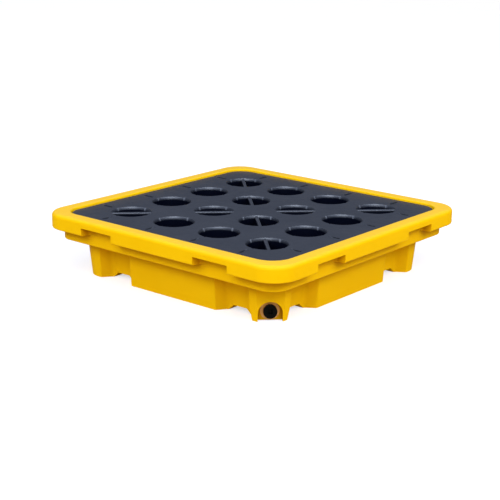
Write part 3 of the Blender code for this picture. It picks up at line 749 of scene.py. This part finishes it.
# ---------------------------------------------------------------- columns
def build_columns():
    """Hollow columns, straight in the deck's sleeves and tapering below them to a foot."""
    shoulder = SLEEVE_BOTTOM - WALL
    foot_top = COLUMN_BOTTOM + COLUMN_FOOT_HEIGHT
    profile = [
        (COLUMN_TOP_RADIUS - COLUMN_WALL, COLUMN_TOP), (COLUMN_TOP_RADIUS, COLUMN_TOP),
        (COLUMN_TOP_RADIUS, shoulder), (COLUMN_BOTTOM_RADIUS, foot_top),
        (COLUMN_FOOT_RADIUS, foot_top), (COLUMN_FOOT_RADIUS, COLUMN_BOTTOM),
        (COLUMN_BOTTOM_RADIUS - COLUMN_WALL, COLUMN_BOTTOM),
        (COLUMN_TOP_RADIUS - COLUMN_WALL, shoulder),
    ]
    columns = []
    for y in centred(COLUMNS_PER_SIDE):
        for x in centred(COLUMNS_PER_SIDE):
            column = add_object(turned_profile(f"column_{len(columns) + 1}", profile))
            turn(column, COLUMN_STEPS)
            column.location = (x, y, 0.0)
            moulded(column, COLUMN_SOFTNESS)
            columns.append(column)
    return columns


# ---------------------------------------------------------------- drain
def thread_ridge(name, low, high, root, growth, runout):
    """A trapezoid ridge along a right-handed helix about +Z, which sinks into root over its run-outs.

    Growth widens the ridge on all sides, and a runout of zero keeps it whole to its ends.
    """
    flank = (THREAD_ROOT_WIDTH - THREAD_CREST_WIDTH) / 2 / (THREAD_CREST - THREAD_ROOT)
    steps = round((high - low) / THREAD_PITCH * THREAD_STEPS)
    bm = bmesh.new()
    sections = []
    for step in range(steps + 1):
        height = low + (high - low) * step / steps
        angle = math.tau * height / THREAD_PITCH
        ends = min(step, steps - step) / THREAD_STEPS
        full = min(1.0, THREAD_START + ends / runout) if runout else 1.0
        crest = root + (THREAD_CREST + growth - root) * full
        section = []
        for radius, sign in ((root, -1), (crest, -1), (crest, 1), (root, 1)):
            half = THREAD_ROOT_WIDTH / 2 - (radius - THREAD_ROOT) * flank + growth
            section.append(bm.verts.new((radius * math.cos(angle), radius * math.sin(angle),
                                         height + sign * half)))
        sections.append(section)
    bm.faces.new(reversed(sections[0]))
    bm.faces.new(sections[-1])
    for near, far in zip(sections, sections[1:]):
        for i in range(len(near)):
            bm.faces.new((near[i - 1], near[i], far[i], far[i - 1]))
    bmesh.ops.recalc_face_normals(bm, faces=bm.faces)
    return add_tool(finished(bm, name))


def build_bushing():
    """A flanged sleeve with a thread cut in its bore."""
    bore = THREAD_ROOT + THREAD_CLEARANCE
    inner_end = DRAIN_WELL_FACE - DRAIN_POCKET_FACE - GAP
    profile = [
        (bore, BUSHING_FLANGE), (BUSHING_FLANGE_RADIUS, BUSHING_FLANGE), (BUSHING_FLANGE_RADIUS, GAP),
        (BUSHING_RADIUS, GAP), (BUSHING_RADIUS, inner_end), (bore, inner_end),
    ]
    bushing = add_object(turned_profile("drain_insert", profile))
    turn(bushing, DRAIN_STEPS)
    bushing.matrix_world = DRAIN_PLACE
    groove = thread_ridge("bushing_thread", inner_end - THREAD_PITCH, BUSHING_FLANGE + THREAD_PITCH,
                          bore - 2 * THREAD_CLEARANCE, THREAD_CLEARANCE, 0.0)
    groove.matrix_world = DRAIN_PLACE
    combine(bushing, groove, 'DIFFERENCE')
    moulded(bushing, DRAIN_SOFTNESS)
    return bushing


def build_gasket():
    """A flat ring with bevelled edges."""
    low = BUSHING_FLANGE + GAP
    high = low + GASKET_THICKNESS
    profile = [
        (GASKET_INNER_RADIUS, high), (GASKET_RADIUS - GASKET_EDGE, high),
        (GASKET_RADIUS, high - GASKET_EDGE), (GASKET_RADIUS, low + GASKET_EDGE),
        (GASKET_RADIUS - GASKET_EDGE, low), (GASKET_INNER_RADIUS, low),
    ]
    gasket = add_object(turned_profile("drain_seal", profile))
    turn(gasket, DRAIN_STEPS)
    gasket.matrix_world = DRAIN_PLACE
    moulded(gasket, DRAIN_SOFTNESS)
    return gasket


def build_plug():
    """A round head with a square key socket, on a threaded stem."""
    base = BUSHING_FLANGE + GASKET_THICKNESS + 2 * GAP
    face = base + PLUG_HEAD
    profile = [
        (0.0, face), (PLUG_HEAD_RADIUS, face), (PLUG_HEAD_RADIUS, base), (THREAD_ROOT, base),
        (THREAD_ROOT, PLUG_TIP + PLUG_EDGE), (THREAD_ROOT - PLUG_EDGE, PLUG_TIP), (0.0, PLUG_TIP),
    ]
    plug = add_object(turned_profile("drain_stopper", profile))
    turn(plug, DRAIN_STEPS)
    plug.matrix_world = DRAIN_PLACE
    thread = thread_ridge("plug_thread", PLUG_TIP + THREAD_ROOT_WIDTH, BUSHING_FLANGE - GAP,
                          THREAD_ROOT - GAP, 0.0, THREAD_RUNOUT)
    key = add_tool(box("key_socket", (KEY_SOCKET, KEY_SOCKET, 2 * KEY_DEPTH), (0.0, 0.0, face)))
    for tool, operation in ((thread, 'UNION'), (key, 'DIFFERENCE')):
        tool.matrix_world = DRAIN_PLACE
        combine(plug, tool, operation)
    moulded(plug, DRAIN_SOFTNESS)
    return plug


# ---------------------------------------------------------------- materials
class Shader:
    """A Principled material built up node by node, in the object's own coordinates."""

    def __init__(self, name):
        self.material = bpy.data.materials.new(name)
        self.material.use_nodes = True
        self.tree = self.material.node_tree
        self.principled = self.tree.nodes["Principled BSDF"]
        self.output = self.tree.nodes["Material Output"]
        self.coordinates = self.add('ShaderNodeTexCoord').outputs["Object"]

    def add(self, kind, **settings):
        node = self.tree.nodes.new(kind)
        for key, value in settings.items():
            setattr(node, key, value)
        return node

    def feed(self, socket, value):
        """Links a node's output to socket, or sets the number or colour there."""
        if isinstance(value, bpy.types.NodeSocket):
            self.tree.links.new(value, socket)
        elif isinstance(value, tuple) and socket.type == 'RGBA':
            socket.default_value = (*value, 1.0)
        else:
            socket.default_value = value

    def set(self, **inputs):
        """Feeds inputs of the Principled shader, named with _ for their spaces."""
        for key, value in inputs.items():
            self.feed(self.principled.inputs[key.replace("_", " ")], value)

    def up_part(self, vector):
        """The upward part of a place or direction."""
        node = self.add('ShaderNodeSeparateXYZ')
        self.feed(node.inputs["Vector"], vector)
        return node.outputs["Z"]

    def normal(self):
        return self.add('ShaderNodeNewGeometry').outputs["Normal"]

    def noise(self, scale, detail=2.0):
        node = self.add('ShaderNodeTexNoise')
        self.feed(node.inputs["Scale"], scale)
        self.feed(node.inputs["Detail"], detail)
        self.feed(node.inputs["Vector"], self.coordinates)
        return node.outputs["Fac"]

    def remap(self, source, span, to_span):
        """Source with the two ends of span moved to those of to_span, and held there beyond them."""
        node = self.add('ShaderNodeMapRange')
        for key, value in (("Value", source), ("From Min", span[0]), ("From Max", span[1]),
                           ("To Min", to_span[0]), ("To Max", to_span[1])):
            self.feed(node.inputs[key], value)
        return node.outputs["Result"]

    def patches(self, scale, detail, to_span=(0.0, 1.0)):
        """Noise spread over the whole of to_span."""
        return self.remap(self.noise(scale, detail), NOISE_SPAN, to_span)

    def mix(self, factor, first, second):
        node = self.add('ShaderNodeMix', data_type='RGBA')
        self.feed(node.inputs["Factor"], factor)
        self.feed(node.inputs["A"], first)
        self.feed(node.inputs["B"], second)
        return node.outputs["Result"]

    def painted_crease_shade(self, crease_shade, unshaded):
        """Colour in the open that turns to the crease colour, a painted shade, in the piece's own
        creases.
        """
        # ambient occlusion paints shade into the piece's creases
        node = self.add('ShaderNodeAmbientOcclusion', only_local=True)
        self.feed(node.inputs["Distance"], CREASE_SHADE_REACH)
        openness = self.remap(node.outputs["AO"], CREASE_SHADE_SPAN, (0.0, 1.0))
        return self.mix(openness, crease_shade, unshaded)

    def relief(self, scale, height, strength, detail=2.0, under=None):
        """A noisy bump of this height in metres, over the normal under where one is given."""
        node = self.add('ShaderNodeBump')
        self.feed(node.inputs["Distance"], height)
        self.feed(node.inputs["Strength"], strength)
        self.feed(node.inputs["Height"], self.noise(scale, detail))
        if under:
            self.feed(node.inputs["Normal"], under)
        return node.outputs["Normal"]


def yellow_polyethylene():
    """Upper faces shine more than the walls, a painted sheen, and the creases are darkened with painted
    shade.
    """
    shader = Shader("yellow_polyethylene")
    unshaded = shader.mix(shader.patches(scale=9.0, detail=3.0), *YELLOW_TONES)
    wave = shader.relief(scale=14.0, height=0.0012, strength=0.25, detail=1.0)
    peel = shader.relief(scale=420.0, height=0.0002, strength=0.35, under=wave)
    # painted shade darkens the tub's creases
    shader.set(Base_Color=shader.painted_crease_shade(YELLOW_PAINTED_SHADE, unshaded),
               Roughness=shader.patches(scale=60.0, detail=4.0, to_span=YELLOW_ROUGHNESS),
               # upper faces get more shine than the walls: a painted sheen
               Specular_IOR_Level=shader.remap(shader.up_part(shader.normal()), PAINTED_SHEEN_SLOPE, YELLOW_SHINE),
               Normal=peel)
    return shader.material


def dark_polyethylene():
    """Grey and even on top, glossy on the lips of the holes, matt inside them and painted black there as
    shade.
    """
    shader = Shader("dark_polyethylene")
    height = shader.up_part(shader.coordinates)
    grey = shader.mix(shader.patches(scale=12.0, detail=3.0), *DECK_TONES)
    lit = shader.remap(height, (DECK_TOP - MATT_BELOW, DECK_TOP - GREY_ABOVE), (0.0, 1.0))
    gloss = shader.remap(height, (DECK_TOP - MATT_BELOW, DECK_TOP - GLOSS_ABOVE), (TOP_SHINE, LIP_SHINE))
    shine = shader.remap(shader.up_part(shader.normal()), LIP_SLOPE, (gloss, TOP_SHINE))
    # below the lips the base colour turns to painted shade
    shader.set(Base_Color=shader.mix(lit, DECK_PAINTED_SHADE, grey),
               Roughness=shader.patches(scale=70.0, detail=4.0, to_span=DECK_ROUGHNESS),
               Specular_IOR_Level=shine,
               Specular_Tint=DECK_REFLECTION,
               Normal=shader.relief(scale=520.0, height=0.0002, strength=0.4, detail=3.0))
    return shader.material


def plain_plastic(name, colour, roughness, grain, shine=0.5, crease_shade=None):
    """A small piece's material, with a fine grain and, where given, painted shade in its creases."""
    shader = Shader(name)
    lighter = tuple(channel * SECOND_TONE for channel in colour)
    unshaded = shader.mix(shader.noise(scale=40.0, detail=3.0), colour, lighter)
    rough_span = (roughness - ROUGHNESS_SPREAD, roughness + ROUGHNESS_SPREAD)
    # where a crease colour is given, it paints shade into the creases
    shader.set(Base_Color=shader.painted_crease_shade(crease_shade, unshaded) if crease_shade else unshaded,
               Roughness=shader.patches(scale=200.0, detail=3.0, to_span=rough_span),
               Specular_IOR_Level=shine,
               Normal=shader.relief(scale=900.0, height=0.0001, strength=grain))
    return shader.material


# ---------------------------------------------------------------- the pieces on their bodies
def place(piece, body, node, material):
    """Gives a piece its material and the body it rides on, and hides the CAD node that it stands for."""
    piece.data.materials.clear()
    piece.data.materials.append(material)
    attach(piece, body)
    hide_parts(node)


yellow = yellow_polyethylene()
dark = dark_polyethylene()
black = plain_plastic("black_nylon", PLUG_COLOUR, roughness=0.42, grain=0.3, shine=0.08)
column_black = plain_plastic("black_polypropylene", COLUMN_COLOUR, roughness=0.45, grain=0.3)
rubber = plain_plastic("black_rubber", RUBBER_COLOUR, roughness=0.65, grain=0.6)
tan = plain_plastic("tan_polyethylene", BUSHING_COLOUR, roughness=0.42, grain=0.3, crease_shade=BUSHING_PAINTED_SHADE)

place(build_tub(), "tub", "sump_tub", yellow)
place(build_deck(), "deck", "deck_grate", dark)
for index, column in enumerate(build_columns()):
    place(column, "deck", f"support_column_{index + 1}", column_black)
place(build_bushing(), "tub", "drain_bushing", tan)
place(build_gasket(), "gasket", "drain_gasket", rubber)
place(build_plug(), "plug", "drain_plug", black)


# ---------------------------------------------------------------- studio
def add_floor():
    """A pale floor, brighter to the camera than the light it throws back up, clear from below."""
    bm = bmesh.new()
    bmesh.ops.create_grid(bm, x_segments=1, y_segments=1, size=FLOOR_HALF)
    floor = add_object(finished(bm, "studio_floor"))
    shader = Shader("studio_floor")
    seen = shader.add('ShaderNodeLightPath').outputs["Is Camera Ray"]
    speckle = shader.noise(scale=5.0, detail=4.0)
    shown = shader.mix(speckle, *FLOOR_TONES)
    thrown = shader.mix(speckle, FLOOR_BOUNCE, tuple(FLOOR_GRAIN * level for level in FLOOR_BOUNCE))
    shader.set(Base_Color=shader.mix(seen, thrown, shown), Roughness=FLOOR_ROUGHNESS,
               Emission_Color=WHITE,
               Emission_Strength=shader.remap(seen, (0.0, 1.0), (0.0, FLOOR_GLOW)))
    see_through = shader.add('ShaderNodeMixShader')
    shader.feed(see_through.inputs["Fac"], shader.add('ShaderNodeNewGeometry').outputs["Backfacing"])
    shader.feed(see_through.inputs[1], shader.principled.outputs["BSDF"])
    shader.feed(see_through.inputs[2], shader.add('ShaderNodeBsdfTransparent').outputs["BSDF"])
    shader.feed(shader.output.inputs["Surface"], see_through.outputs["Shader"])
    floor.data.materials.append(shader.material)


def add_lamp(name, place_m, target_height, size, watts, only_gloss):
    """A rectangular area light aimed at a point above the pallet's centre."""
    light = bpy.data.lights.new(name, 'AREA')
    light.shape = 'RECTANGLE'
    light.size, light.size_y = size
    light.energy = watts
    lamp = add_object(light)
    lamp.visible_diffuse = not only_gloss
    lamp.location = place_m
    aim = Vector((0.0, 0.0, target_height)) - Vector(place_m)
    lamp.rotation_euler = aim.to_track_quat('-Z', 'Y').to_euler()


def add_world():
    """White to the camera; to the pallet a dome that is brightest in front and dark at the horizon."""
    world = bpy.data.worlds.new("studio")
    bpy.context.scene.world = world
    world.use_nodes = True
    tree = world.node_tree

    def node(kind, **inputs):
        new = tree.nodes.new(kind)
        for key, value in inputs.items():
            socket = new.inputs[key.replace("_", " ")]
            if isinstance(value, bpy.types.NodeSocket):
                tree.links.new(value, socket)
            else:
                socket.default_value = value
        return new

    def ramp(value, span, to_low=0.0, to_high=1.0):
        new = node('ShaderNodeMapRange', Value=value, From_Min=span[0], From_Max=span[1],
                   To_Min=to_low, To_Max=to_high)
        new.interpolation_type = 'SMOOTHSTEP'
        return new.outputs["Result"]

    def between(factor, low, high):
        return node('ShaderNodeMapRange', Value=factor, To_Min=low, To_Max=high).outputs["Result"]

    direction = node('ShaderNodeTexCoord').outputs["Generated"]
    height = node('ShaderNodeSeparateXYZ', Vector=direction).outputs["Z"]
    frontness = tree.nodes.new('ShaderNodeVectorMath')
    frontness.operation = 'DOT_PRODUCT'
    tree.links.new(direction, frontness.inputs[0])
    azimuth = math.radians(CAMERA_ANGLES[0])
    frontness.inputs[1].default_value = (math.sin(azimuth), -math.cos(azimuth), 0.0)
    front = ramp(height, BAND_TOP, FRONT_LEVEL, ZENITH_LEVEL)
    level = ramp(frontness.outputs["Value"], FRONT_SPREAD, BACK_LEVEL, front)
    glow = between(ramp(height, HAZE), HORIZON_LEVEL, level)
    seen = node('ShaderNodeLightPath').outputs["Is Camera Ray"]
    tint = node('ShaderNodeMix', Factor=seen)
    tint.data_type = 'RGBA'
    tint.inputs["A"].default_value = (*DOME_TINT, 1.0)
    tint.inputs["B"].default_value = (*WHITE, 1.0)
    background = tree.nodes["Background"]
    tree.links.new(tint.outputs["Result"], background.inputs["Color"])
    tree.links.new(between(seen, glow, 1.0), background.inputs["Strength"])


def add_camera():
    """Looks at the pallet's drain corner through a long lens, raised a little above the deck."""
    azimuth, elevation, roll = [math.radians(angle) for angle in CAMERA_ANGLES]
    back = Vector((math.sin(azimuth) * math.cos(elevation), -math.cos(azimuth) * math.cos(elevation),
                   math.sin(elevation)))
    level = Vector((math.cos(azimuth), math.sin(azimuth), 0.0))
    raised = back.cross(level)
    right = level * math.cos(roll) + raised * math.sin(roll)
    up = raised * math.cos(roll) - level * math.sin(roll)
    lens = bpy.data.cameras.new("camera")
    lens.lens = CAMERA_LENS
    lens.sensor_width = CAMERA_SENSOR
    lens.shift_x, lens.shift_y = CAMERA_SHIFT
    camera = add_object(lens)
    camera.matrix_world = Matrix.Translation(back * CAMERA_DISTANCE) @ (
        Matrix((right, up, back)).transposed().to_4x4())
    bpy.context.scene.camera = camera


add_floor()
add_world()
for lamp_settings in LAMPS:
    add_lamp(*lamp_settings)
add_camera()
bpy.context.scene.view_settings.view_transform = 'Standard'
